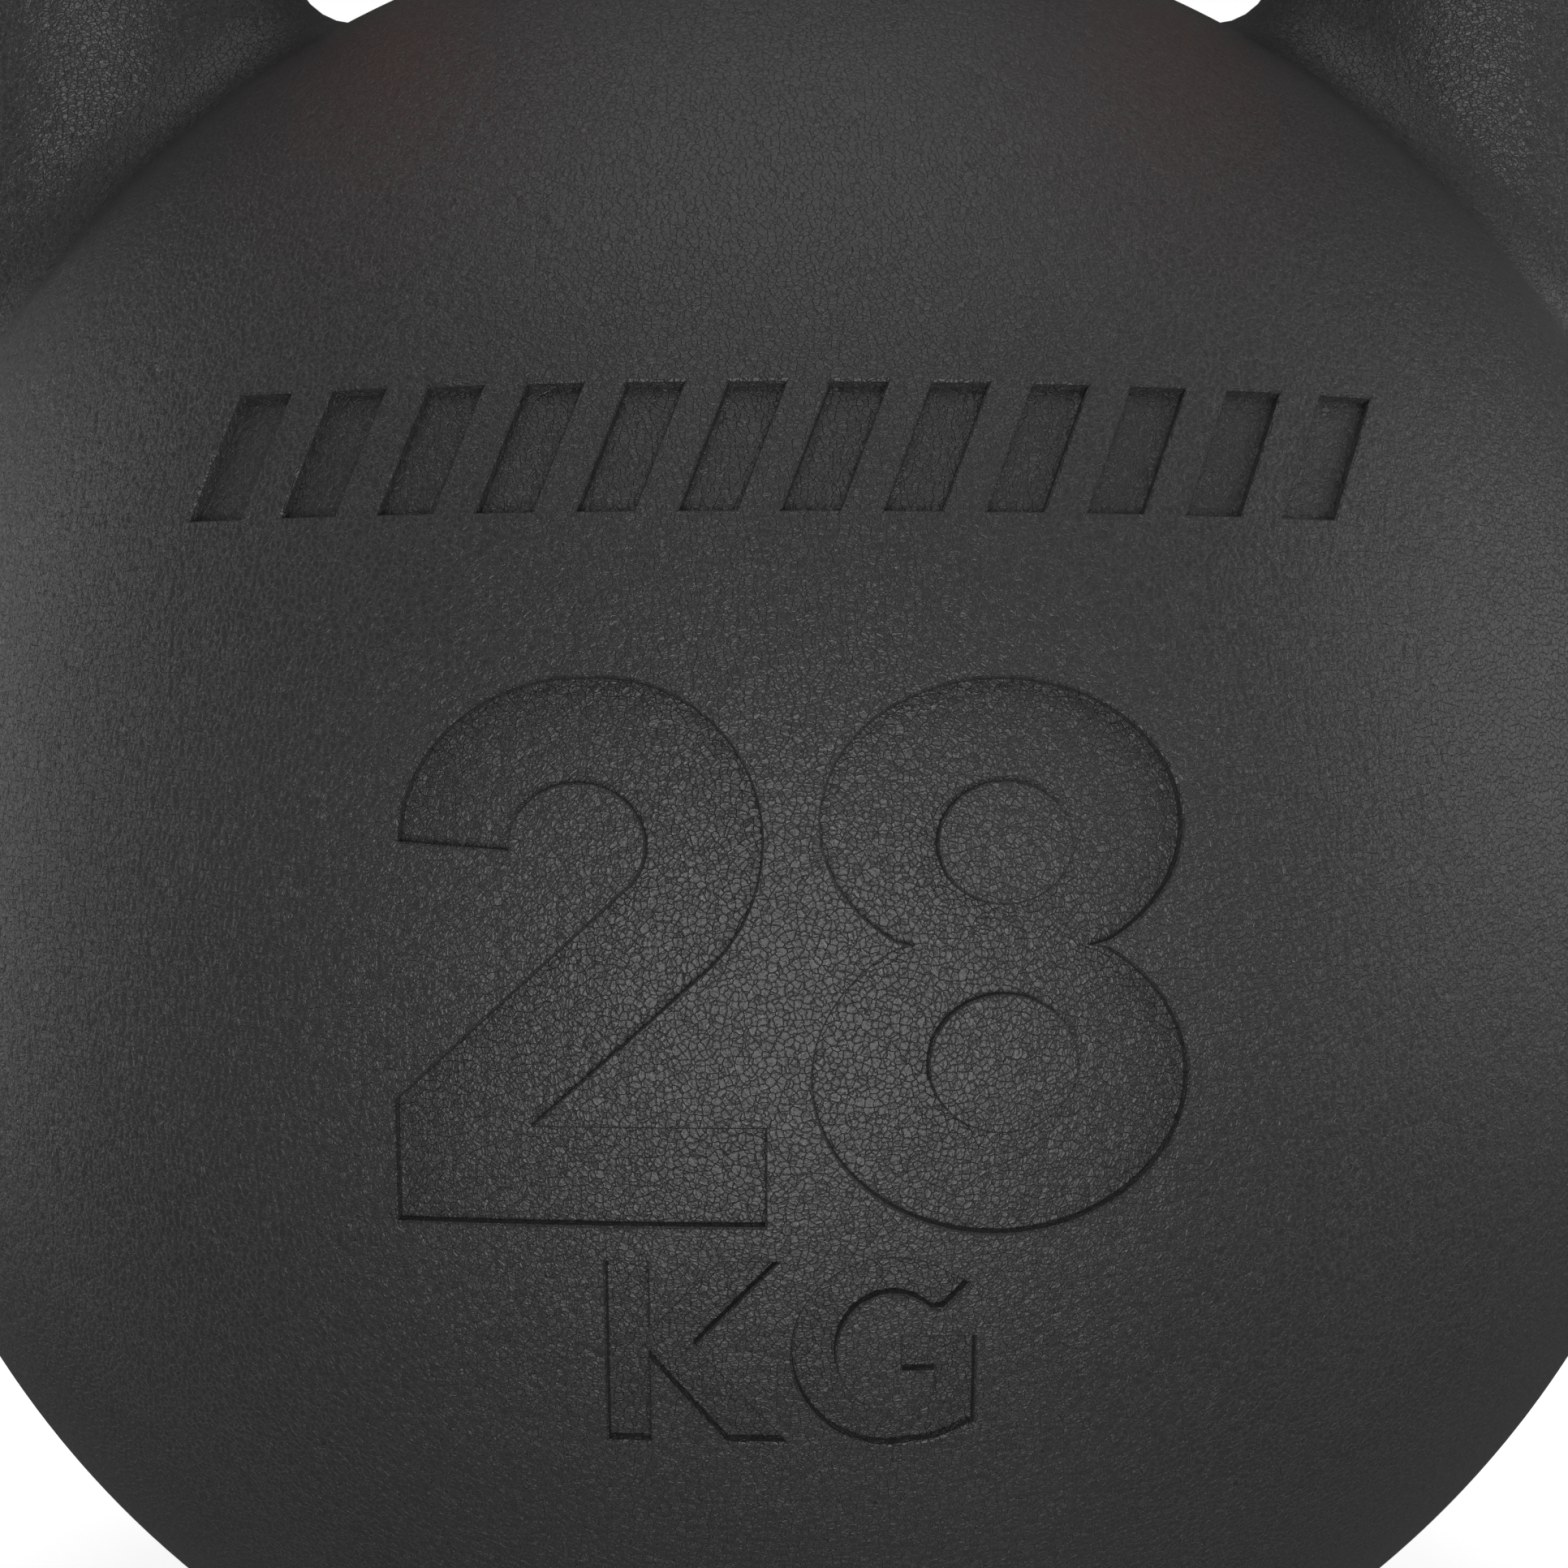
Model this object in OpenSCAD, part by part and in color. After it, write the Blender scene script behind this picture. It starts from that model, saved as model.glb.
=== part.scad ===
// Urethane-coated kettlebell of 28 kg, in millimetres.
// The origin is the middle of the base pad's underside, +Z is up, and the
// marked front faces -Y. The handle's grip runs along X.

/* [Ball] */
// Diameter over the urethane coat
ball_d = 210; // [206:1:220]
// Thickness of the coat on the ball
coat_t = 5; // [3:0.5:6]
// Height of the ball's centre above the floor
centre_h = 85; // [82:1:87]

/* [Handle] */
// Diameter of the steel bar
bar_d = 35; // [32:0.5:35]
// Distance between the axes of the two legs
leg_gap = 157; // [146:1:158]
// Clear height between the ball's top and the grip
window_h = 57; // [55:1:65]
// Bend radius of the bar at its centre line
bend_r = 36; // [30:1:36]
// Diameter of the coated horns
horn_d = 44; // [41:0.5:46]

/* [Colour bands] */
// Height of each band
band_h = 20; // [10:1:20]
// Height of the bands' lower edge above the ball's top
band_rise = 14; // [8:1:14]

/* [Markings] */
// Depth of the weight marking and of the slanted slots above it
marking_depth = 1.1; // [0.8:0.1:2.5]
// Number of slanted slots
slot_count = 12; // [6:1:16]

/* [Filling] */
// Radius of the hollow in the core
hollow_r = 50; // [40:1:54]
// Height of the ballast's level above the hollow's bottom
ballast_h = 31; // [20:1:80]

/* [Hidden] */
$fn = 96;

// Ball and core
ball_r = ball_d / 2;
core_r = ball_r - coat_t;
pad_t = 4;
pad_r = 55;
pad_clear = 0.3;
rim_h = 1;
core_base = pad_t;

// Handle
bar_r = bar_d / 2;
leg_x = leg_gap / 2;
horn_r = horn_d / 2;
fit = 0.05;
socket_bottom = centre_h - 10;
grip_z = centre_h + ball_r + window_h + bar_r;
bend_z = grip_z - bend_r;
band_z = centre_h + ball_r + band_rise;
band_edge = 3;

// Pins that lock the legs in their sockets
pin_r = 4;
pin_l = 80;
pin_rise = 6;
pin_z = centre_h + pin_rise;
pin_cover = 1.5;
pin_reach = pow(leg_x + pin_r, 2) + pow(pin_rise + pin_r, 2);
pin_back = sqrt(pow(core_r, 2) - pin_reach) - pin_cover;

// Hollow with its filler hole
hollow_bottom = core_base + 13;
hollow_top = centre_h + 70;
plug_r = 14;
plug_h = 11;
plug_lip = 0.5;
hex_af = 12;
ballast_gap = 0.3;

// Weight marking: X and Z of its outline on the ball, from the ball's centre
digit_top = 17;
digit_bottom = -34;
letter_top = -37.4;
letter_bottom = -55.4;
digit_overshoot = 0.8;
letter_overshoot = 0.4;
cutter_near = 0.8;
cutter_far = 1.2;

// Slanted slots
slot_row_w = 115;
slot_z = 32.5;
slot_h = 12.4;
slot_w = 5.4;
slot_lean = 4.6;

// Points along an ellipse from angle a0 to a1, each end included
function arc(cx, cy, rx, ry, a0, a1, steps) = [
    for (i = [0 : steps])
        let (a = a0 + (a1 - a0) * i / steps)
        [cx + rx * cos(a), cy + ry * sin(a)]
];

// Flat outline in the plane that touches the ball in front, through points that
// are given by their X and Z on the ball itself
module outline(points) {
    polygon([for (p = points) p * ball_r / sqrt(pow(ball_r, 2) - p * p)]);
}

module oval(cx, cy, rx, ry, steps = 36) {
    outline(arc(cx, cy, rx, ry, 0, 360 - 360 / steps, steps - 1));
}

// Numeral two: bowl, diagonal and foot in one outline
module numeral_two() {
    foot_top = digit_bottom + 9.3;
    bowl_z = 1.8;
    bowl_rz = digit_top - bowl_z;
    outline(concat(
        arc(-18.95, bowl_z, 16.95, bowl_rz, 180, 90, 12),
        arc(-17.2, bowl_z, 15.2, bowl_rz, 90, 0, 12),
        arc(-17.2, bowl_z, 15.2, bowl_rz + 0.6, -4, -50, 7),
        [
            [-23.5, foot_top], [-1.7, foot_top], [-1.7, digit_bottom],
            [-36.4, digit_bottom], [-36.4, digit_bottom + 11.5]
        ],
        arc(-19.1, 1.4, 6.4, 5.8, -38, 184, 18)
    ));
}

// Numeral eight: two lobes that meet in sharp nicks, each with a raised eye
module numeral_eight() {
    upper_z = 3.55;
    lower_z = -20.2;
    nick_z = -7.8;
    difference() {
        outline(concat(
            arc(20.2, upper_z, 16.9, digit_top - upper_z, -54, 234, 32),
            [[11.9, nick_z]],
            arc(20.2, lower_z, 17.6, lower_z - digit_bottom + digit_overshoot, 124, 416, 32),
            [[28.5, nick_z]]
        ));
        oval(20.4, 1.7, 6.3, 5.7, 24);
        oval(20.3, -18.75, 7, 6.5, 24);
    }
}

// Unit of mass, first letter
module letter_k() {
    stem_l = -16.7;
    stem_r = -12.7;
    outline([
        [stem_l, letter_top], [stem_r, letter_top], [stem_r, -44.3],
        [-6.0, letter_top], [-0.6, letter_top], [-8.5, -45.6],
        [0.2, letter_bottom], [-5.4, letter_bottom], [stem_r, -46.9],
        [stem_r, letter_bottom], [stem_l, letter_bottom]
    ]);
}

// Unit of mass, second letter: ring, right side and bar in one outline
module letter_g() {
    mid_z = (letter_top + letter_bottom) / 2;
    outer_rz = (letter_top - letter_bottom) / 2 + letter_overshoot;
    bar_top = -44.8;
    bar_bottom = -48.2;
    right_x = 18;
    outline(concat(
        [[17.3, -39.5]],
        arc(10.1, mid_z, 9.4, outer_rz, 62, 270, 24),
        [
            [14.4, -55.2], [right_x, -53.6], [right_x, bar_top], [11.1, bar_top],
            [11.1, bar_bottom], [14.2, bar_bottom], [14.2, -50.6]
        ],
        arc(10.2, mid_z, 5.4, 5.9, -46, -312, 24),
        [[15, -41.9]]
    ));
}

module slanted_slots() {
    pitch = (slot_row_w - slot_lean - slot_w) / (slot_count - 1);
    for (i = [0 : slot_count - 1]) {
        x = -slot_row_w / 2 + i * pitch;
        outline([
            [x, slot_z], [x + slot_w, slot_z],
            [x + slot_w + slot_lean, slot_z + slot_h], [x + slot_lean, slot_z + slot_h]
        ]);
    }
}

// Cutter whose walls point at the ball's centre and whose floor follows the ball
module recess() {
    near = cutter_near * ball_r;
    far = cutter_far * ball_r;
    translate([0, 0, centre_h]) {
        difference() {
            rotate([90, 0, 0]) {
                translate([0, 0, near]) {
                    linear_extrude(height = far - near, scale = far / near) {
                        scale(cutter_near) {
                            children();
                        }
                    }
                }
            }
            sphere(r = ball_r - marking_depth);
        }
    }
}

// Sphere round the ball's centre, cut flat at height base
module cut_ball(r, base) {
    difference() {
        translate([0, 0, centre_h]) {
            sphere(r = r);
        }
        translate([-ball_d, -ball_d, -ball_d]) {
            cube([2 * ball_d, 2 * ball_d, ball_d + base]);
        }
    }
}

// Both legs' copies of the children
module each_leg() {
    for (side = [-1, 1]) {
        translate([side * leg_x, 0, 0]) {
            children();
        }
    }
}

module urethane_coat() {
    color("#2b2b2b") {
        difference() {
            union() {
                cut_ball(ball_r, rim_h);
                each_leg() {
                    translate([0, 0, centre_h]) {
                        cylinder(r = horn_r, h = band_z - centre_h);
                    }
                }
            }
            cut_ball(core_r, core_base);
            each_leg() {
                translate([0, 0, centre_h]) {
                    cylinder(r = bar_r, h = ball_d);
                }
            }
            cylinder(r = pad_r + pad_clear, h = 2 * core_base, center = true);
            recess() {
                numeral_two();
            }
            recess() {
                numeral_eight();
            }
            recess() {
                letter_k();
            }
            recess() {
                letter_g();
            }
            recess() {
                slanted_slots();
            }
        }
    }
}

module iron_core() {
    color("#4c4a48") {
        difference() {
            cut_ball(core_r, core_base);
            each_leg() {
                translate([0, 0, socket_bottom]) {
                    cylinder(r = bar_r + fit, h = ball_d);
                }
                translate([0, pin_back - pin_l, pin_z]) {
                    rotate([-90, 0, 0]) {
                        cylinder(r = pin_r, h = ball_d);
                    }
                }
            }
            hollow(0, hollow_top);
            cylinder(r = plug_r + fit, h = hollow_bottom + hollow_r);
        }
    }
}

// Barrel-shaped hollow, shrunk by gap and filled no higher than level
module hollow(gap, level) {
    r = hollow_r - gap;
    bottom = hollow_bottom + hollow_r;
    top = hollow_top - hollow_r;
    intersection() {
        union() {
            translate([0, 0, bottom]) {
                sphere(r = r);
            }
            translate([0, 0, bottom]) {
                cylinder(r = r, h = top - bottom);
            }
            translate([0, 0, top]) {
                sphere(r = r);
            }
        }
        translate([-ball_d / 2, -ball_d / 2, 0]) {
            cube([ball_d, ball_d, level]);
        }
    }
}

module handle_bar() {
    color("#b9bcc0") {
        difference() {
            union() {
                each_leg() {
                    translate([0, 0, socket_bottom]) {
                        cylinder(r = bar_r, h = bend_z - socket_bottom);
                    }
                }
                for (side = [0, 1]) {
                    mirror([side, 0, 0]) {
                        translate([leg_x - bend_r, 0, bend_z]) {
                            rotate([90, 0, 0]) {
                                rotate_extrude(angle = 90) {
                                    translate([bend_r, 0]) {
                                        circle(r = bar_r);
                                    }
                                }
                            }
                        }
                    }
                }
                translate([bend_r - leg_x, 0, grip_z]) {
                    rotate([0, 90, 0]) {
                        cylinder(r = bar_r, h = leg_gap - 2 * bend_r);
                    }
                }
            }
            each_leg() {
                translate([0, 0, pin_z]) {
                    rotate([90, 0, 0]) {
                        cylinder(r = pin_r, h = bar_d + 2, center = true);
                    }
                }
            }
        }
    }
}

// Ring round a leg, with a sloped upper edge that runs in to the bar
module band() {
    color("#e8640c") {
        translate([0, 0, band_z]) {
            rotate_extrude() {
                polygon([
                    [bar_r, 0], [horn_r, 0], [horn_r, band_h - band_edge],
                    [horn_r - band_edge, band_h], [bar_r, band_h]
                ]);
            }
        }
    }
}

module left_band() {
    translate([-leg_x, 0, 0]) {
        band();
    }
}

module right_band() {
    translate([leg_x, 0, 0]) {
        band();
    }
}

module leg_pins() {
    color("#8a8d91") {
        each_leg() {
            translate([0, pin_back - pin_l, pin_z]) {
                rotate([-90, 0, 0]) {
                    cylinder(r = pin_r, h = pin_l);
                }
            }
        }
    }
}

module ballast() {
    color("#77716a") {
        difference() {
            hollow(ballast_gap, hollow_bottom + ballast_h);
            cylinder(r = plug_r + fit + 1, h = core_base + plug_lip + plug_h + ballast_gap);
        }
    }
}

module filler_plug() {
    color("#9a9da1") {
        translate([0, 0, core_base + plug_lip]) {
            difference() {
                cylinder(r = plug_r, h = plug_h);
                translate([0, 0, -1]) {
                    cylinder(d = hex_af / cos(30), h = 7, $fn = 6);
                }
            }
        }
    }
}

module base_pad() {
    groove_r = 46;
    groove_w = 3;
    groove_depth = 1;
    color("#1d1d1d") {
        difference() {
            cylinder(r = pad_r, h = pad_t);
            translate([0, 0, -1]) {
                difference() {
                    cylinder(r = groove_r, h = 1 + groove_depth);
                    cylinder(r = groove_r - groove_w, h = 1 + groove_depth);
                }
            }
        }
    }
}

urethane_coat();
iron_core();
handle_bar();
left_band();
right_band();
leg_pins();
ballast();
filler_plug();
base_pad();
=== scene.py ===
"""Looks of a urethane-coated kettlebell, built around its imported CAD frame.

Lengths are metres, +Z is up, the marked front faces -Y and the grip runs along X.
"""

import math

import bmesh
import bpy
import numpy as np
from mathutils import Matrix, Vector
from mathutils.geometry import delaunay_2d_cdt
from mathutils.kdtree import KDTree


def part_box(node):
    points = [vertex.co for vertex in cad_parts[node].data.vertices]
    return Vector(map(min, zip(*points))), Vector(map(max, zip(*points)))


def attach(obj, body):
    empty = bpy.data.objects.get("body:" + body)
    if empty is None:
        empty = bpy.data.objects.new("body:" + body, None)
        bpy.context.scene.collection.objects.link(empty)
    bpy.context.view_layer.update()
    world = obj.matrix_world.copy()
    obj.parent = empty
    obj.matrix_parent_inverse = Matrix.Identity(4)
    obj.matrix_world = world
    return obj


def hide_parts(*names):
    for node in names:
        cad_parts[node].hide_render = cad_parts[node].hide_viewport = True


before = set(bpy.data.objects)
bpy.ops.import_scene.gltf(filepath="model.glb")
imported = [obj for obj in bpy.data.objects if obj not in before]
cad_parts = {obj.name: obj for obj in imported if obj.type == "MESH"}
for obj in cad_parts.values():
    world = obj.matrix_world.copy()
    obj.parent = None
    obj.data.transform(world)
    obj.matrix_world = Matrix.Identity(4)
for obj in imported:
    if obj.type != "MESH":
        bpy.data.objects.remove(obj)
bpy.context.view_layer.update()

MM = 0.001


# Sizes taken from the frame

def tenth(size):
    """A CAD size to a tenth of a millimetre, which drops the rounding of its mesh."""
    return round(size, 4)


coat_low, coat_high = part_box("urethane_coat")
core_low, core_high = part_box("iron_core")
bar_low, bar_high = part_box("handle_bar")
band_low, band_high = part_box("right_band")
_, pad_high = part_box("base_pad")
pin_low, pin_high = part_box("leg_pins")

BALL_R = tenth((coat_high.x - coat_low.x) / 2)
CORE_R = tenth((core_high.x - core_low.x) / 2)
CENTRE_Z = tenth(core_high.z - CORE_R)
RIM_Z = tenth(coat_low.z)
CORE_BASE_Z = tenth(core_low.z)
LEG_X = tenth((band_low.x + band_high.x) / 2)
HORN_R = tenth((band_high.x - band_low.x) / 2)
BAND_Z = tenth(band_low.z)
BAND_TOP_Z = tenth(band_high.z)
BAR_R = tenth((bar_high.y - bar_low.y) / 2)
GRIP_Z = tenth(bar_high.z) - BAR_R
SOCKET_Z = tenth(bar_low.z)
PAD_R = tenth(pad_high.x)
PAD_T = tenth(pad_high.z)
PIN_Z = (pin_low.z + pin_high.z) / 2
PIN_R = tenth((pin_high.z - pin_low.z) / 2)

# Sizes that only the looks need, or that a box doesn't tell
BEND_R = 36 * MM
FILLET_R = 8 * MM
PAD_CLEAR = 0.3 * MM
RECESS_DEPTH = 1.1 * MM
WALL_DRAFT = 0.08 * MM
LIP_WIDTH = 0.18 * MM
LIP_DROP = 0.2 * MM
SKIN_SPACING = 1.8 * MM
INSIDE_SPACING = 5 * MM
OUTLINE_STEP = 0.9 * MM
HORN_STEPS = 144
BASE_STEPS = 216
SHARP_ANGLE = math.radians(35)


# Outlines of the markings: X and Z in mm on the ball, from its centre, with the recess on the left

NUMERAL_LOW = -34.0
NUMERAL_FOOT = -24.7
LETTER_LOW = -55.4
LETTER_HIGH = -37.4


def arc(centre_x, centre_z, radius_x, radius_z, start, end, steps):
    """Points along an ellipse from one angle in degrees to another."""
    turn = np.radians(np.linspace(start, end, steps + 1))
    return np.column_stack([
        centre_x + radius_x * np.cos(turn),
        centre_z + radius_z * np.sin(turn),
    ])


def oval(centre_x, centre_z, radius_x, radius_z, steps):
    """Points once round an ellipse, counterclockwise."""
    return arc(centre_x, centre_z, radius_x, radius_z, 0, 360, steps)[:-1]


def numeral_two():
    """Bowl, diagonal and foot of a two, clockwise outside and back along the inside."""
    return [np.vstack([
        arc(-18.95, 1.8, 16.95, 15.2, 180, 90, 36)[:-1],
        arc(-17.2, 1.8, 15.2, 15.2, 90, 0, 36)[:-1],
        arc(-17.2, 1.8, 15.2, 15.8, 0, -50, 20),
        [(-23.5, NUMERAL_FOOT), (-1.7, NUMERAL_FOOT), (-1.7, NUMERAL_LOW)],
        [(-36.4, NUMERAL_LOW), (-36.4, -22.5)],
        arc(-19.1, 1.4, 6.4, 5.8, -38, 184, 40),
    ])[::-1]]


def numeral_eight():
    """Two lobes that meet in sharp nicks, and the raised eye of each."""
    outside = np.vstack([
        arc(20.2, 3.55, 16.9, 13.45, -54, 234, 96),
        [(11.9, -7.8)],
        arc(20.2, -20.2, 17.6, 14.6, 124, 416, 96),
        [(28.5, -7.8)],
    ])
    return [outside, oval(20.4, 1.7, 6.3, 5.7, 48)[::-1], oval(20.3, -18.75, 7.0, 6.5, 48)[::-1]]


def letter_k():
    """First letter of the unit of mass: a stem, a leg and an arm."""
    stem_left, stem_right = -16.7, -12.7
    return [np.array([
        (stem_left, LETTER_LOW), (stem_right, LETTER_LOW), (stem_right, -46.9),
        (-5.4, LETTER_LOW), (0.2, LETTER_LOW), (-8.5, -45.6),
        (-0.6, LETTER_HIGH), (-6.0, LETTER_HIGH), (stem_right, -44.3),
        (stem_right, LETTER_HIGH), (stem_left, LETTER_HIGH),
    ])]


def letter_g():
    """Second letter of the unit of mass: ring, right side and bar in one outline."""
    right, bar_left, bar_right, bar_low, bar_high = 18.0, 11.1, 14.2, -48.2, -44.8
    return [np.vstack([
        [(17.3, -39.5)],
        arc(10.1, -46.4, 9.4, 9.4, 62, 270, 60),
        [(14.4, -55.2), (right, -53.6), (right, bar_high), (bar_left, bar_high)],
        [(bar_left, bar_low), (bar_right, bar_low), (bar_right, -50.6)],
        arc(10.2, -46.4, 5.4, 5.9, -46, -312, 56),
        [(15.0, -41.9)],
    ])]


def slanted_slots():
    """A row of slanted slots above the numerals."""
    count, row, low, height, width, lean = 12, 115, 32.5, 12.4, 5.4, 4.6
    pitch = (row - lean - width) / (count - 1)
    return [
        np.array([
            (left, low), (left + width, low),
            (left + width + lean, low + height), (left + lean, low + height),
        ])
        for left in -row / 2 + pitch * np.arange(count)
    ]


def divided(loop, step):
    """The loop with its long edges divided, so that no edge is longer than step."""
    points = []
    for start, end in zip(loop, np.roll(loop, -1, axis=0)):
        parts = max(1, math.ceil(np.linalg.norm(end - start) / step))
        points.append(start + (end - start) * np.arange(parts)[:, None] / parts)
    return np.vstack(points)


def mitres(loop):
    """At each point of a loop, the vector that moves it by 1 to the left of both its edges."""
    along = np.roll(loop, -1, axis=0) - loop
    along /= np.linalg.norm(along, axis=1, keepdims=True)
    left = np.column_stack([-along[:, 1], along[:, 0]])
    before = np.roll(left, 1, axis=0)
    return (left + before) / (1 + np.sum(left * before, axis=1, keepdims=True))


def inside(points, loops):
    """True for each point that an odd number of the loops goes round."""
    odd = np.zeros(len(points), bool)
    px, pz = points.T
    for loop in loops:
        for (ax, az), (bx, bz) in zip(loop, np.roll(loop, -1, axis=0)):
            if az != bz:
                crosses = (az > pz) != (bz > pz)
                odd ^= crosses & (px < ax + (bx - ax) * (pz - az) / (bz - az))
    return odd


# The coat: ball, horns, base and the inside that holds the core, as one closed skin

class Skin:
    """Points and faces of a mesh under construction, from the ball's centre."""

    def __init__(self):
        self.points = []
        self.faces = []

    def add(self, points):
        """Adds points and returns their numbers."""
        first = len(self.points)
        self.points += [tuple(p) for p in points]
        return np.arange(first, len(self.points))

    def bridge(self, ring, other):
        """Quads between two closed rings of as many points."""
        corners = zip(ring, np.roll(ring, -1), np.roll(other, -1), other)
        self.faces += [tuple(int(i) for i in face) for face in corners]

    def stack(self, ring, layers):
        """Bridges from ring through each layer of points, and returns the last ring."""
        for layer in layers:
            above = self.add(layer)
            self.bridge(ring, above)
            ring = above
        return ring


def spread(spacing):
    """Unit vectors about spacing apart over a whole sphere, along a golden-angle spiral."""
    count = int(4 * math.pi / (math.sqrt(3) / 2 * spacing**2))
    number = np.arange(count) + 0.5
    height = 1 - 2 * number / count
    turn = number * math.pi * (3 - math.sqrt(5))
    level = np.sqrt(1 - height**2)
    return np.column_stack([level * np.cos(turn), level * np.sin(turn), height])


def flattened(directions):
    """Stereographic map of unit vectors, seen from the lowest point, where the ball is cut off."""
    return directions[:, :2] / (1 + directions[:, 2:])


def circle(radius, z, steps=BASE_STEPS, centre_x=0.0):
    """A level ring of points."""
    turn = np.linspace(0, 2 * math.pi, steps, endpoint=False)
    return np.column_stack([
        centre_x + radius * np.cos(turn), radius * np.sin(turn), np.full(steps, z),
    ])


def front_directions(loop):
    """Unit vectors to a loop of X and Z on the front of the ball."""
    depth = -np.sqrt(BALL_R**2 - np.sum(loop**2, axis=1))
    return np.column_stack([loop[:, 0], depth, loop[:, 1]]) / BALL_R


def ball_skin(skin, radius, spacing, base, openings, markings=()):
    """Adds a sphere that is cut at its base ring, open at its openings and recessed at its
    markings, and returns the numbers of the base ring and of each opening's ring."""
    rings = [(ring / radius, 0.0) for ring in [base, *openings]]
    for loop in markings:
        mitre = mitres(loop)
        rings.append((front_directions(loop - LIP_WIDTH * mitre), 0.0))
        rings.append((front_directions(loop), LIP_DROP))
        rings.append((front_directions(loop + WALL_DRAFT * mitre), RECESS_DEPTH))
    on_rings = np.vstack([ring for ring, _ in rings])
    depth_on_rings = np.concatenate([np.full(len(ring), depth) for ring, depth in rings])

    tree = KDTree(len(on_rings))
    for number, direction in enumerate(on_rings):
        tree.insert(direction, number)
    tree.balance()
    free = spread(spacing / radius)
    free = free[free[:, 2] > base[0, 2] / radius]
    holes = [flattened(ring / radius) for ring in openings]
    free = free[~inside(flattened(free), holes)]
    free = free[[tree.find(d)[2] > spacing / radius / 2 for d in free]]
    in_recess = (free[:, 1] < 0) & inside(free[:, [0, 2]] * BALL_R, markings)

    directions = np.vstack([on_rings, free])
    depth = np.concatenate([depth_on_rings, RECESS_DEPTH * in_recess])
    starts = np.cumsum([0] + [len(ring) for ring, _ in rings])
    edges = []
    for first, past in zip(starts, starts[1:]):
        edges += [(i, i + 1 if i + 1 < past else first) for i in range(first, past)]
    flat = [Vector(p) for p in flattened(directions)]
    _, _, triangles, origins, _, _ = delaunay_2d_cdt(flat, edges, [], 0, 1e-8)
    numbers = skin.add(directions * (radius - depth)[:, None])
    triangles = np.array([[origins[i][0] for i in triangle] for triangle in triangles])
    middles = flattened(directions)[triangles].mean(axis=1)
    for triangle in triangles[~inside(middles, holes)]:
        skin.faces.append(tuple(int(i) for i in numbers[triangle]))
    return [numbers[first:past] for first, past in zip(starts, starts[1:])][:1 + len(openings)]


def horn_layers(side):
    """Rings up the outside of one horn: the fillet that leaves the ball, the straight part and
    the rounded top edge. The first ring lies on the ball."""
    steps, rows, edge_r = 8, 10, 0.6 * MM
    turn = np.linspace(0, 2 * math.pi, HORN_STEPS, endpoint=False)
    out = np.column_stack([np.cos(turn), np.sin(turn), np.zeros(HORN_STEPS)])
    axis = np.array([side * LEG_X, 0, 0])
    spine = axis + (HORN_R + FILLET_R) * out
    spine[:, 2] = np.sqrt((BALL_R + FILLET_R)**2 - np.sum(spine**2, axis=1))
    to_ball = -spine / np.linalg.norm(spine, axis=1, keepdims=True)
    angle = np.arccos(np.sum(to_ball * -out, axis=1))[:, None]
    layers = [
        spine + FILLET_R * (np.sin((1 - t) * angle) * to_ball - np.sin(t * angle) * out) / np.sin(angle)
        for t in np.linspace(0, 1, steps + 1)
    ]
    top = BAND_Z - CENTRE_Z
    wall_low = layers[-1]
    wall_high = axis + HORN_R * out + [0, 0, top - edge_r]
    layers += [wall_low + (wall_high - wall_low) * t for t in np.linspace(0, 1, rows + 1)[1:]]
    for lean in np.radians([30, 60, 90]):
        inward = edge_r * (1 - math.cos(lean))
        layers.append(circle(HORN_R - inward, top - edge_r * (1 - math.sin(lean)), HORN_STEPS, axis[0]))
    return layers


def bore_ring(side):
    """Where the bar's bore leaves the inside of the coat."""
    ring = circle(BAR_R, 0, HORN_STEPS, side * LEG_X)
    ring[:, 2] = np.sqrt(CORE_R**2 - ring[:, 0]**2 - ring[:, 1]**2)
    return ring


def make_coat():
    """The ball with its markings and both horns, hollow for the core, the bar and the pad."""
    skin = Skin()
    markings = [
        divided(loop * MM, OUTLINE_STEP)
        for loops in (numeral_two(), numeral_eight(), letter_k(), letter_g(), slanted_slots())
        for loop in loops
    ]
    rim, floor = RIM_Z - CENTRE_Z, CORE_BASE_Z - CENTRE_Z
    base = circle(math.sqrt(BALL_R**2 - rim**2), rim)
    seat = circle(math.sqrt(CORE_R**2 - floor**2), floor)
    horns = [horn_layers(side) for side in (-1, 1)]
    outer = ball_skin(skin, BALL_R, SKIN_SPACING, base, [layers[0] for layers in horns], markings)
    inner = ball_skin(skin, CORE_R, INSIDE_SPACING, seat, [bore_ring(side) for side in (-1, 1)])
    pocket = [circle(PAD_R + PAD_CLEAR, rim), circle(PAD_R + PAD_CLEAR, floor)]
    skin.bridge(skin.stack(outer[0], pocket), inner[0])
    for side, layers, low, bore in zip((-1, 1), horns, outer[1:], inner[1:]):
        mouth = circle(BAR_R, BAND_Z - CENTRE_Z, HORN_STEPS, side * LEG_X)
        skin.bridge(skin.stack(low, layers[1:] + [mouth]), bore)
    return make_piece("coat", skin, (0, 0, CENTRE_Z))


def make_piece(name, skin, origin=(0, 0, 0)):
    """A smooth-shaded object from a closed skin, with its faces turned outward."""
    mesh = bpy.data.meshes.new(name)
    mesh.from_pydata((np.array(skin.points) + origin).tolist(), [], skin.faces)
    shape = bmesh.new()
    shape.from_mesh(mesh)
    bmesh.ops.recalc_face_normals(shape, faces=shape.faces)
    shape.to_mesh(mesh)
    shape.free()
    mesh.shade_smooth()
    mesh.set_sharp_from_angle(angle=SHARP_ANGLE)
    piece = bpy.data.objects.new(name, mesh)
    bpy.context.scene.collection.objects.link(piece)
    return piece


# Turned pieces and the bar

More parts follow.
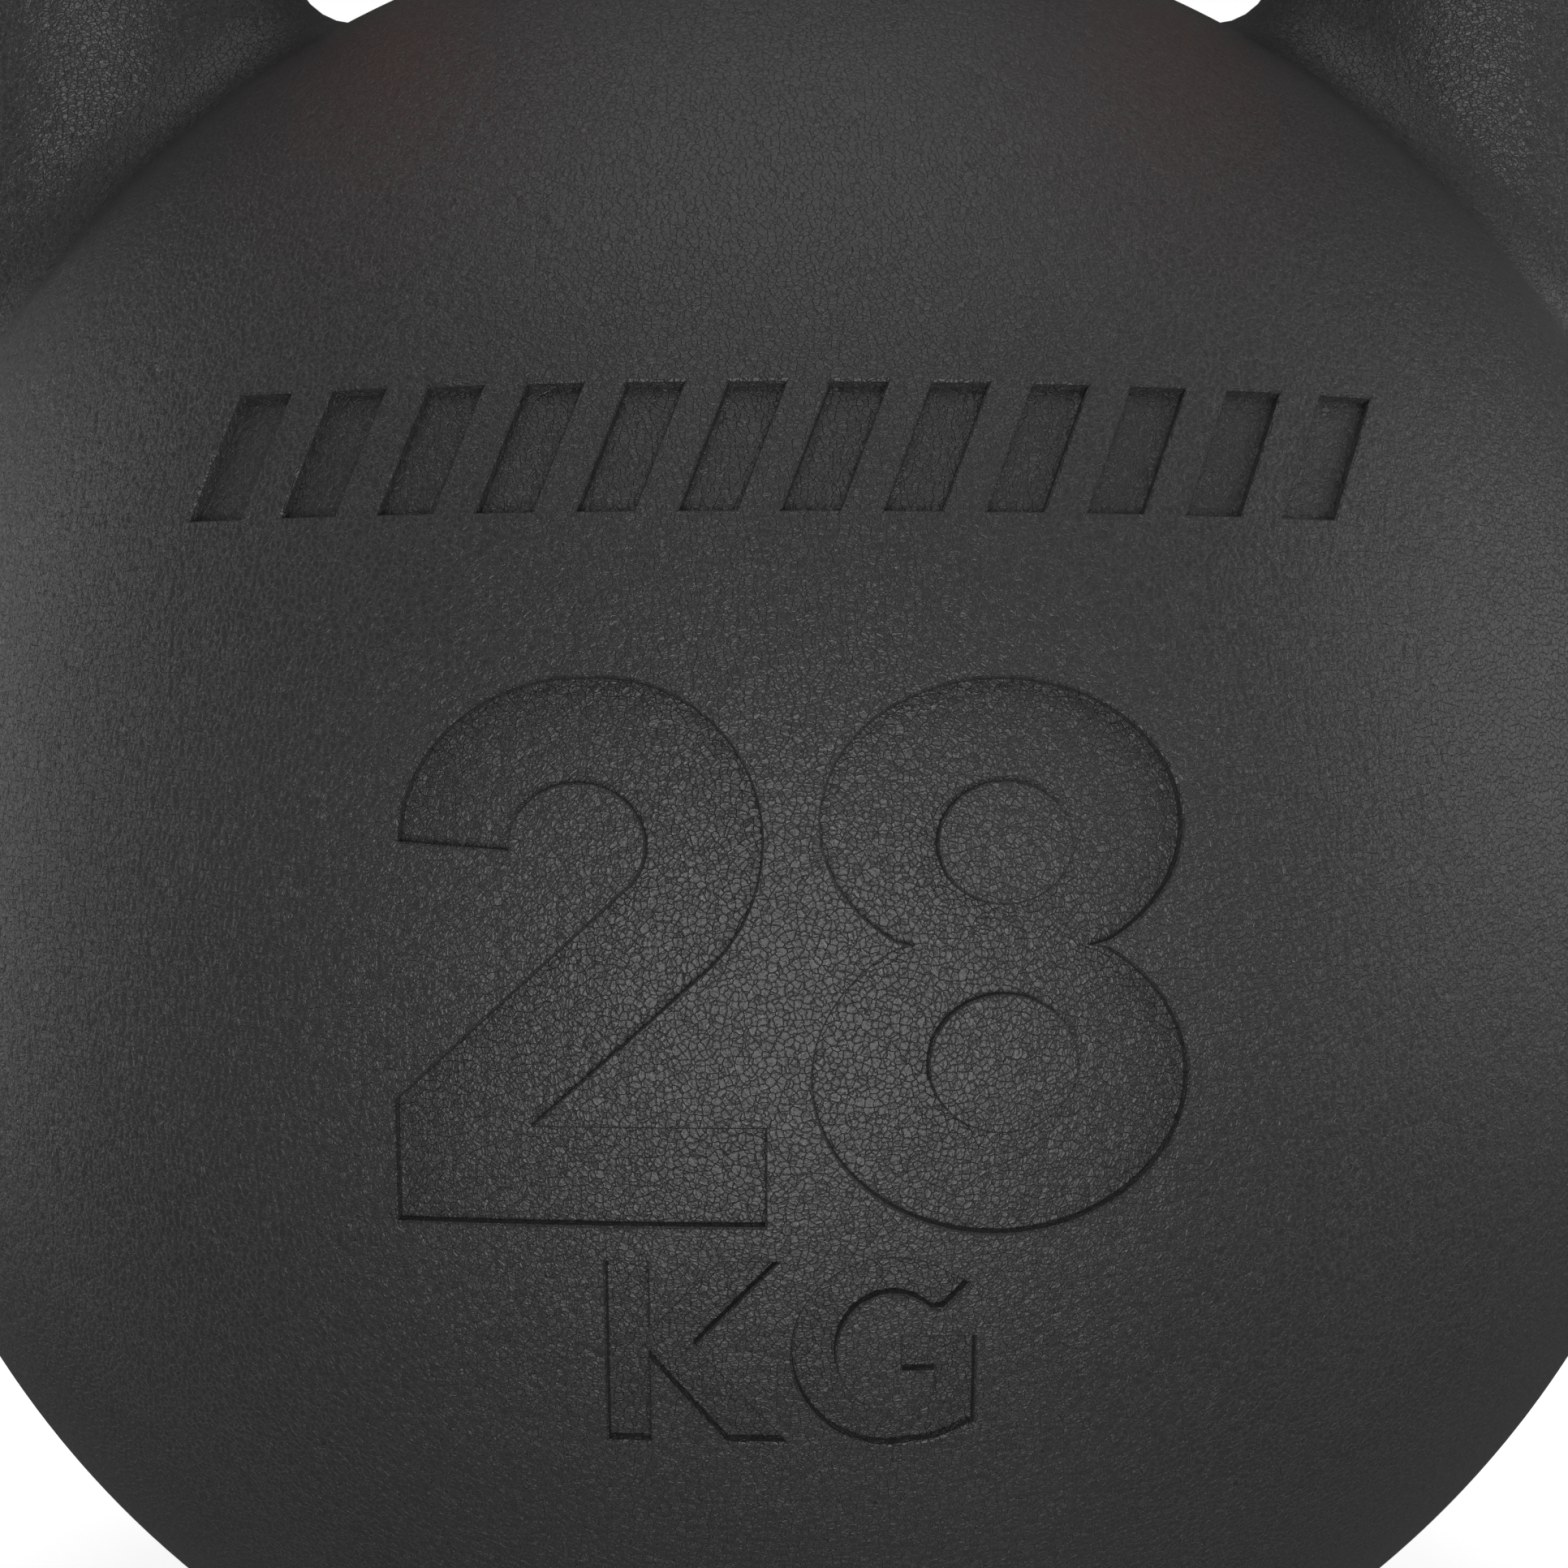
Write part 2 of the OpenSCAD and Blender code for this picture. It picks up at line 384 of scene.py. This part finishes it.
def rounded(corners, radius, steps=6):
    """A closed outline with each corner replaced by an arc that starts radius from it."""
    corners = np.array(corners, float)
    points = []
    for before, corner, after in zip(np.roll(corners, 1, axis=0), corners, np.roll(corners, -1, axis=0)):
        start = corner + (before - corner) * radius / np.linalg.norm(before - corner)
        end = corner + (after - corner) * radius / np.linalg.norm(after - corner)
        for t in np.linspace(0, 1, steps + 1):
            points.append((1 - t)**2 * start + 2 * t * (1 - t) * corner + t**2 * end)
    return np.array(points)


def turned(name, outline, centre_x=0.0, steps=144):
    """A ring turned about a vertical axis from a closed outline of radius and height."""
    skin = Skin()
    first = last = skin.add(circle(*outline[0], steps, centre_x))
    for radius, z in outline[1:]:
        ring = skin.add(circle(radius, z, steps, centre_x))
        skin.bridge(last, ring)
        last = ring
    skin.bridge(last, first)
    return make_piece(name, skin)


def make_band(name, side):
    """Colour band: a ring round the leg, whose sloped upper edge runs in to the bar."""
    slope = 3 * MM
    outline = rounded([
        (BAR_R, BAND_Z), (HORN_R, BAND_Z), (HORN_R, BAND_TOP_Z - slope),
        (HORN_R - slope, BAND_TOP_Z), (BAR_R, BAND_TOP_Z),
    ], 0.6 * MM)
    return turned(name, outline, side * LEG_X)


def bar_path():
    """Points, directions and arc lengths along the bar's centre line, from foot to foot."""
    bend_z = GRIP_Z - BEND_R
    leg = [(-LEG_X, z, 0.0) for z in np.linspace(SOCKET_Z, bend_z, 24)]
    bend = [
        (-LEG_X + BEND_R * (1 - math.cos(a)), bend_z + BEND_R * math.sin(a), a)
        for a in np.linspace(0, math.pi / 2, 33)[1:]
    ]
    grip = [(x, GRIP_Z, math.pi / 2) for x in np.linspace(BEND_R - LEG_X, 0, 12)[1:-1]]
    half = leg + bend + grip
    other = [(-x, z, math.pi - a) for x, z, a in reversed(half)]
    x, z, lean = np.array(half + [(0.0, GRIP_Z, math.pi / 2)] + other).T
    return x, z, lean, np.concatenate([[0], np.cumsum(np.hypot(np.diff(x), np.diff(z)))])


def make_bar():
    """The bent bar, with a chamfer at each foot and the two cross holes for the pins."""
    skin = Skin()
    x, z, lean, length = bar_path()
    chamfer = 1.5 * MM
    steps = 128
    turn = np.linspace(0, 2 * math.pi, steps, endpoint=False)
    stations = [(0, BAR_R - chamfer), (chamfer, BAR_R)]
    stations += [(at, BAR_R) for at in length[1:-1]]
    stations += [(length[-1] - chamfer, BAR_R), (length[-1], BAR_R - chamfer)]
    rings = []
    for at, radius in stations:
        cx, cz, a = (np.interp(at, length, values) for values in (x, z, lean))
        side = radius * np.cos(turn)
        rings.append(skin.add(np.column_stack([
            cx - side * math.cos(a), radius * np.sin(turn), cz + side * math.sin(a),
        ])))
    for ring, after in zip(rings, rings[1:]):
        skin.bridge(ring, after)
    skin.faces += [tuple(int(i) for i in rings[0]), tuple(int(i) for i in rings[-1])]
    bar = make_piece("bar", skin)
    drill_bar(bar)
    along = bar.data.attributes.new("along", "FLOAT", "POINT")
    along.data.foreach_set("value", [arc_length(v.co, length[-1]) for v in bar.data.vertices])
    return bar


def drill_bar(bar):
    """Cuts the cross holes for the leg pins through both legs."""
    drill = Skin()
    steps = 48
    hole = circle(PIN_R, 0, steps)
    for side in (-1, 1):
        ends = [
            drill.add(np.column_stack([
                hole[:, 0] + side * LEG_X, np.full(steps, end * 2 * BAR_R), hole[:, 1] + PIN_Z,
            ]))
            for end in (-1, 1)
        ]
        drill.bridge(*ends)
        drill.faces += [tuple(int(i) for i in end) for end in ends]
    cutter = make_piece("drill", drill)
    cut = bar.modifiers.new("holes", "BOOLEAN")
    cut.object = cutter
    cut.solver = "EXACT"
    bpy.context.view_layer.update()
    done = bar.evaluated_get(bpy.context.evaluated_depsgraph_get())
    drilled = bpy.data.meshes.new_from_object(done)
    bar.modifiers.clear()
    bar.data = drilled
    drilled.set_sharp_from_angle(angle=SHARP_ANGLE)
    bpy.data.objects.remove(cutter)


def arc_length(point, whole):
    """How far along the bar's centre line, of this whole length, a point of the bar lies."""
    bend_z = GRIP_Z - BEND_R
    quarter = BEND_R * math.pi / 2
    leg = bend_z - SOCKET_Z
    off = LEG_X - BEND_R - abs(point.x)
    if point.z <= bend_z and off < 0:
        half = point.z - SOCKET_Z
    elif off < 0:
        half = leg + BEND_R * math.atan2(point.z - bend_z, -off)
    else:
        half = leg + quarter + off
    return half if point.x < 0 else whole - half


def make_pad():
    """Rubber pad: a disc with rounded edges and a groove in its underside."""
    groove_out, groove_in, groove_depth = 46 * MM, 43 * MM, 1 * MM
    hub_r = 1 * MM
    outline = rounded([
        (hub_r, 0), (groove_in, 0), (groove_in, groove_depth), (groove_out, groove_depth),
        (groove_out, 0), (PAD_R, 0), (PAD_R, PAD_T), (hub_r, PAD_T),
    ], 0.45 * MM)
    pad = turned("pad", outline, steps=192)

    # The turned ring closes to a disc: its small hub is drawn in to one point above and below
    shape = bmesh.new()
    shape.from_mesh(pad.data)
    hub = [v for v in shape.verts if math.hypot(v.co.x, v.co.y) < hub_r + 0.1 * MM]
    for v in hub:
        v.co.z = 0 if v.co.z < PAD_T / 2 else PAD_T
        v.co.xy = (0, 0)
    bmesh.ops.remove_doubles(shape, verts=hub, dist=0.01 * MM)
    flat = [f for f in shape.faces if len(f.verts) < 3]
    bmesh.ops.delete(shape, geom=flat, context="FACES")
    loose = [e for e in shape.edges if not e.link_faces]
    bmesh.ops.delete(shape, geom=loose, context="EDGES")
    shape.to_mesh(pad.data)
    shape.free()
    return pad


# Materials

def new_material(name, **inputs):
    """A node material, with these inputs set on its shader. Returns it with its tree and shader."""
    material = bpy.data.materials.new(name)
    material.use_nodes = True
    shader = material.node_tree.nodes["Principled BSDF"]
    for key, value in inputs.items():
        shader.inputs[key.replace("_", " ")].default_value = value
    return material, material.node_tree, shader


def add(tree, kind, settings=None, **inputs):
    """Adds a node, and gives its inputs their values or links. Returns it."""
    node = tree.nodes.new("ShaderNode" + kind)
    for key, value in (settings or {}).items():
        setattr(node, key, value)
    for key, value in inputs.items():
        plug(tree, value, node.inputs[key.replace("_", " ")])
    return node


def plug(tree, value, socket):
    """Links an output to a socket, or sets the socket to a constant."""
    if isinstance(value, bpy.types.NodeSocket):
        tree.links.new(value, socket)
    else:
        socket.default_value = value


def wire(tree, shader, **inputs):
    """Plugs values into the shader's inputs."""
    for key, value in inputs.items():
        plug(tree, value, shader.inputs[key.replace("_", " ")])


def maths(tree, operation, *values):
    """The output of a Math node."""
    node = add(tree, "Math", {"operation": operation})
    for value, socket in zip(values, node.inputs):
        plug(tree, value, socket)
    return node.outputs[0]


def total(tree, *values):
    """The sum of several values."""
    result = values[0]
    for value in values[1:]:
        result = maths(tree, "ADD", result, value)
    return result


def vectors(tree, operation, *values):
    """A Vector Math node."""
    node = add(tree, "VectorMath", {"operation": operation})
    for value, socket in zip(values, node.inputs):
        plug(tree, value, socket)
    return node


def place(tree, stretch=(1, 1, 1)):
    """Coordinates in metres from the piece's origin, stretched along each axis."""
    coordinates = add(tree, "TexCoord").outputs["Object"]
    return add(tree, "Mapping", Vector=coordinates, Scale=stretch).outputs["Vector"]


def noise(tree, vector, scale, detail=2.0, roughness=0.5):
    """A noise value of about 0 to 1, whose features are 1/scale metres across."""
    node = add(tree, "TexNoise", Vector=vector, Scale=scale, Detail=detail, Roughness=roughness)
    return node.outputs["Fac"]


def between(tree, value, low, high):
    """Maps 0..1 to low..high."""
    node = add(tree, "MapRange", Value=value)
    node.inputs["To Min"].default_value = low
    node.inputs["To Max"].default_value = high
    return node.outputs["Result"]


def ramp(tree, value, low, high):
    """0 at low and before it, 1 at high and beyond, with a smooth step between."""
    node = add(tree, "MapRange", {"interpolation_type": "SMOOTHSTEP"}, Value=value)
    node.inputs["From Min"].default_value = low
    node.inputs["From Max"].default_value = high
    return node.outputs["Result"]


def tint(tree, value, dark, light):
    """A colour from dark to light as value goes from 0 to 1."""
    node = add(tree, "ValToRGB", Fac=value)
    ends = node.color_ramp.elements
    ends[0].color = (*dark, 1)
    ends[1].color = (*light, 1)
    return node.outputs["Color"]


def shifted(tree, vector, scale, reach):
    """Coordinates pushed about by a coarse noise, up to reach metres."""
    wander = add(tree, "TexNoise", Vector=vector, Scale=scale, Detail=1.0).outputs["Color"]
    push = vectors(tree, "SUBTRACT", wander, (0.5, 0.5, 0.5)).outputs["Vector"]
    return vectors(tree, "MULTIPLY_ADD", push, (reach, reach, reach), vector).outputs["Vector"]


def bumped(tree, height, relief):
    """The normal of a surface whose height is relief times the given one, in metres."""
    return add(tree, "Bump", Height=height, Strength=1.0, Distance=relief).outputs["Normal"]


def edge_distance(tree, vector, scale):
    """Distance to the nearest cell border of a Voronoi pattern, in cells."""
    node = add(tree, "TexVoronoi", {"feature": "DISTANCE_TO_EDGE"}, Vector=vector, Scale=scale)
    return node.outputs["Distance"]


def dome(tree, distance, height):
    """Height of a dome round each cell's middle, from the distance to it in cells."""
    return maths(tree, "MULTIPLY", maths(tree, "MULTIPLY", distance, distance), -height)


def leather_grain(tree, cell, relief=1.0):
    """Crumpled grain of domed and tilted cells under fine wrinkles, each with a sharp crease
    round it and a raised rim beside the crease. Returns the creases' and the rims' strength
    from 0 to 1, and the normal."""
    still = place(tree)
    bent = shifted(tree, shifted(tree, still, 0.8 / cell, 0.55 * cell), 3 / cell, 0.25 * cell)
    cells = add(tree, "TexVoronoi", Vector=bent, Scale=1 / cell).outputs
    small = add(tree, "TexVoronoi", Vector=bent, Scale=2 / cell).outputs

    border = edge_distance(tree, bent, 1 / cell)
    crease_width, rim_top, rim_end = 0.08, 0.05, 0.21
    flat = ramp(tree, border, 0.0, crease_width)
    rim = maths(tree, "MULTIPLY", flat, ramp(tree, border, rim_end, rim_top))
    wrinkle = maths(tree, "SUBTRACT", noise(tree, still, 1.3 / cell, 1.0), 0.5)

    from_middle = vectors(tree, "SUBTRACT", bent, cells["Position"]).outputs["Vector"]
    lean = vectors(tree, "SUBTRACT", cells["Color"], (0.5, 0.5, 0.5)).outputs["Vector"]
    tilt = vectors(tree, "DOT_PRODUCT", from_middle, lean).outputs["Value"]
    height = total(
        tree,
        dome(tree, cells["Distance"], 0.12 * cell),
        dome(tree, small["Distance"], 0.04 * cell),
        maths(tree, "MULTIPLY", tilt, 0.12),
        maths(tree, "MULTIPLY", cells["Color"], 0.02 * cell),
        maths(tree, "MULTIPLY", maths(tree, "ABSOLUTE", wrinkle), 0.22 * cell),
        maths(tree, "MULTIPLY", maths(tree, "ADD", flat, rim), 0.04 * cell),
    )
    return maths(tree, "SUBTRACT", 1.0, flat), rim, bumped(tree, height, relief)


def urethane():
    """Black moulded urethane: darker in the creases, which is painted shade, and shinier on the rubbed
    rims, which a painted highlight also makes lighter.
    """
    material, tree, shader = new_material("urethane_black", Specular_IOR_Level=0.5)
    crease, rim, normal = leather_grain(tree, 0.72 * MM)
    patches = noise(tree, place(tree), 35, 3.0)
    # Base colour: random patches of tone, plus a painted highlight that lightens the rims and painted
    # shade that darkens the creases.
    tone_and_painted_light = total(
        tree,
        between(tree, patches, 0.016, 0.024),
        maths(tree, "MULTIPLY", rim, 0.02),
        maths(tree, "MULTIPLY", crease, -0.01),
    )
    roughness = total(
        tree, between(tree, patches, 0.42, 0.48), maths(tree, "MULTIPLY", rim, -0.10),
    )
    grey = tint(tree, tone_and_painted_light, (0, 0, 0), (1, 1, 1))
    wire(tree, shader, Base_Color=grey, Roughness=roughness, Normal=normal)
    return material


def coloured_urethane():
    """Orange moulded urethane with the same grain, lower and finer; its colour is lighter on the rims
    with a painted highlight and darker in the creases with painted shade.
    """
    material, tree, shader = new_material("urethane_orange", Specular_IOR_Level=0.5)
    crease, rim, normal = leather_grain(tree, 0.6 * MM, 0.5)
    patches = noise(tree, place(tree), 90, 4.0)
    # Random patches of orange, plus a painted highlight on the rims and painted shade in the creases.
    patches_and_painted_light = total(tree, patches, maths(tree, "MULTIPLY", rim, 0.4), maths(tree, "MULTIPLY", crease, -1.0))
    orange = tint(tree, patches_and_painted_light, (0.70, 0.10, 0.006), (0.94, 0.20, 0.015))
    wire(tree, shader, Base_Color=orange, Roughness=between(tree, rim, 0.46, 0.36), Normal=normal)
    return material


def bright_bar():
    """Ground and brushed steel: fine lines round the bar, with faint rubbing marks."""
    material, tree, shader = new_material("steel_brushed", Metallic=1.0)
    along = add(tree, "Attribute", {"attribute_name": "along"}).outputs["Fac"]
    coordinates = add(tree, "SeparateXYZ", Vector=place(tree))
    lines = add(
        tree, "CombineXYZ", X=maths(tree, "MULTIPLY", along, 5200.0),
        Y=maths(tree, "MULTIPLY", coordinates.outputs["Y"], 60.0),
        Z=maths(tree, "MULTIPLY", coordinates.outputs["Z"], 20.0),
    ).outputs[0]
    brushed = noise(tree, lines, 1.0, 3.0, 0.65)
    rubbed = noise(tree, place(tree), 60, 5.0, 0.6)
    colour = tint(tree, rubbed, (0.46, 0.46, 0.465), (0.60, 0.60, 0.60))
    roughness = total(tree, between(tree, brushed, 0.22, 0.36), between(tree, rubbed, -0.03, 0.06))
    normal = bumped(tree, brushed, 0.004 * MM)
    wire(tree, shader, Base_Color=colour, Roughness=roughness, Normal=normal)
    return material


def cast_iron():
    """Sand-cast iron, dark and rough."""
    material, tree, shader = new_material("iron_cast", Metallic=0.7)
    grit = noise(tree, place(tree), 700, 4.0, 0.65)
    scale = noise(tree, place(tree), 45, 4.0)
    colour = tint(tree, scale, (0.045, 0.042, 0.040), (0.10, 0.095, 0.09))
    normal = bumped(tree, grit, 0.25 * MM)
    wire(tree, shader, Base_Color=colour, Roughness=between(tree, grit, 0.55, 0.8), Normal=normal)
    return material


def turned_steel():
    """Plain steel with fine marks round its axis."""
    material, tree, shader = new_material("steel_turned", Metallic=1.0)
    marks = noise(tree, place(tree, (40, 3000, 40)), 1.0, 3.0)
    stain = noise(tree, place(tree), 120, 4.0)
    colour = tint(tree, stain, (0.32, 0.32, 0.33), (0.46, 0.46, 0.46))
    normal = bumped(tree, marks, 0.006 * MM)
    wire(tree, shader, Base_Color=colour, Roughness=between(tree, marks, 0.28, 0.45), Normal=normal)
    return material


def shot_in_resin():
    """Ballast: small steel shot set in dull resin."""
    material, tree, shader = new_material("ballast_shot")
    cells = add(tree, "TexVoronoi", Vector=place(tree), Scale=420.0)
    shot = ramp(tree, cells.outputs["Distance"], 0.62, 0.30)
    wire(
        tree, shader,
        Base_Color=tint(tree, shot, (0.10, 0.085, 0.065), (0.27, 0.26, 0.25)),
        Roughness=between(tree, shot, 0.75, 0.38),
        Metallic=between(tree, shot, 0.0, 0.8),
        Normal=bumped(tree, shot, 0.7 * MM),
    )
    return material


def pad_rubber():
    """Matt black rubber with a fine stipple and a little dust."""
    material, tree, shader = new_material("rubber_pad", Specular_IOR_Level=0.35)
    stipple = noise(tree, place(tree), 1500, 2.0)
    dust = ramp(tree, noise(tree, place(tree), 70, 5.0, 0.6), 0.5, 0.8)
    colour = tint(tree, dust, (0.012, 0.012, 0.012), (0.035, 0.033, 0.031))
    normal = bumped(tree, stipple, 0.08 * MM)
    wire(tree, shader, Base_Color=colour, Roughness=between(tree, stipple, 0.65, 0.9), Normal=normal)
    return material


# Stage, lights and camera

SOFT_LIGHTS = (
    # Name, azimuth from the camera's side with + to the right, elevation, width, height, radiance
    ("front_low", 2, -18, 1.1, 1.0, 6.3),
    ("left", -112, 6, 1.3, 1.2, 1.15),
    ("right", 95, 10, 1.4, 1.2, 1.5),
    ("overhead", 0, 77, 1.6, 1.3, 1.4),
)
LIGHT_DISTANCE = 1.5
AMBIENT = 0.09
FLOOR_HALF = 3.0
LENS_MM = 102.2
CAMERA_DISTANCE = 0.5113
CAMERA_RISE = 7.1 * MM


def make_lights():
    """Soft boxes round the object, each turned to the ball."""
    aim = Vector((0, 0, CENTRE_Z))
    for name, azimuth, elevation, width, height, radiance in SOFT_LIGHTS:
        a, e = math.radians(azimuth), math.radians(elevation)
        out = Vector((math.sin(a) * math.cos(e), -math.cos(a) * math.cos(e), math.sin(e)))
        data = bpy.data.lights.new(name, "AREA")
        data.shape = "RECTANGLE"
        data.size, data.size_y = width, height
        data.energy = radiance * math.pi * width * height
        light = bpy.data.objects.new(name, data)
        light.location = aim + LIGHT_DISTANCE * out
        light.rotation_euler = out.to_track_quat("Z", "Y").to_euler()
        light.visible_camera = False
        bpy.context.scene.collection.objects.link(light)


def make_world():
    """A weak even fill. The camera itself sees a white backdrop."""
    world = bpy.data.worlds.new("studio")
    bpy.context.scene.world = world
    world.use_nodes = True
    tree = world.node_tree
    seen = add(tree, "LightPath").outputs["Is Camera Ray"]
    background = tree.nodes["Background"]
    background.inputs["Color"].default_value = (1, 1, 1, 1)
    plug(tree, between(tree, seen, AMBIENT, 1.0), background.inputs["Strength"])


def make_floor():
    """A pale floor that the camera sees and the object doesn't mirror."""
    mesh = bpy.data.meshes.new("floor")
    corners = [(FLOOR_HALF * x, FLOOR_HALF * y, 0) for x, y in ((-1, -1), (1, -1), (1, 1), (-1, 1))]
    mesh.from_pydata(corners, [], [(0, 1, 2, 3)])
    floor = bpy.data.objects.new("floor", mesh)
    bpy.context.scene.collection.objects.link(floor)
    material, _, _ = new_material(
        "floor_white", Base_Color=(0.8, 0.8, 0.8, 1), Roughness=0.9, Emission_Color=(1, 1, 1, 1),
        Emission_Strength=0.85,
    )
    mesh.materials.append(material)
    floor.visible_diffuse = False
    floor.visible_glossy = False
    floor.visible_shadow = False


def make_camera():
    """A camera level with the ball, a little above its centre, that looks along +Y."""
    data = bpy.data.cameras.new("camera")
    data.lens = LENS_MM
    data.sensor_width = 36
    data.clip_start = 0.01
    camera = bpy.data.objects.new("camera", data)
    camera.location = (0, -CAMERA_DISTANCE, CENTRE_Z + CAMERA_RISE)
    camera.rotation_euler = (math.pi / 2, 0, 0)
    bpy.context.scene.collection.objects.link(camera)
    bpy.context.scene.camera = camera


# Assembly

def dress(piece, material):
    """Gives a new piece its material and its slot, and lets it ride on the body."""
    piece.data.materials.clear()
    piece.data.materials.append(material)
    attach(piece, "root")


def repaint(node, material):
    """Puts a material in every slot of a carried-over CAD node."""
    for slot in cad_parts[node].material_slots:
        slot.material = material


make_camera()
make_world()
make_lights()
make_floor()
bpy.context.scene.view_settings.view_transform = "Standard"

coat = make_coat()
dress(coat, urethane())
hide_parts("urethane_coat")

orange = coloured_urethane()
for band_name, band_side in (("left_band", -1), ("right_band", 1)):
    band = make_band(band_name + "_ring", band_side)
    dress(band, orange)
    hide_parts(band_name)

bar = make_bar()
dress(bar, bright_bar())
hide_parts("handle_bar")

pad = make_pad()
dress(pad, pad_rubber())
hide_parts("base_pad")

steel = turned_steel()
repaint("iron_core", cast_iron())
repaint("leg_pins", steel)
repaint("filler_plug", steel)
repaint("ballast", shot_in_resin())
